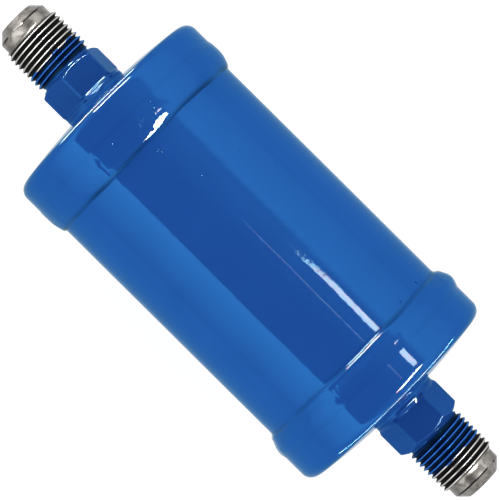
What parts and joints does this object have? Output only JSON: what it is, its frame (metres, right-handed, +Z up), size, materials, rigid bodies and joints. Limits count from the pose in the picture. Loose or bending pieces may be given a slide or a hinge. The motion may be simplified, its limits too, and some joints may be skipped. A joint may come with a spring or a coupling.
{
  "type": "filter drier",
  "caption": "In-line refrigerant filter drier: painted steel can with girth-welded domed caps, a male flare fitting on each end and a spring-loaded desiccant core inside.",
  "frame": {"origin": "on the drier's axis, midway between the two flare tips", "axes": "+X along the axis, out of the outlet fitting; -X out of the inlet fitting; +Z up when the drier lies level, across two flats of the outlet hexagon"},
  "size_m": [0.1556, 0.0584, 0.0578],
  "materials": {
    "blue_paint": "glossy wet paint, slightly wavy",
    "fitting_steel": "turned steel, bare at the thread and nose, painted behind",
    "spring_steel": "drawn wire and strip",
    "plate_steel": "zinc-plated pressing",
    "screen_wire": "fine woven wire",
    "filter_felt": "needled polyester felt",
    "desiccant": "porous moulded bead block",
    "gasket_rubber": "matt moulded ring"
  },
  "bodies": {
    "root": {"shell": "blue_paint", "inlet_cap": "blue_paint", "outlet_cap": "blue_paint", "inlet_girth_weld": "blue_paint", "outlet_girth_weld": "blue_paint", "inlet_fitting": "fitting_steel", "outlet_fitting": "fitting_steel", "inlet_fitting_braze": "blue_paint", "outlet_fitting_braze": "blue_paint", "core_spring": "spring_steel", "pressure_plate": "plate_steel", "inlet_screen": "screen_wire", "inlet_pad": "filter_felt", "inlet_centring_ring": "spring_steel", "desiccant_core": "desiccant", "outlet_centring_ring": "spring_steel", "outlet_gasket": "gasket_rubber", "outlet_pad": "filter_felt", "outlet_screen": "screen_wire", "outlet_cup": "plate_steel"}
  },
  "joints": []
}
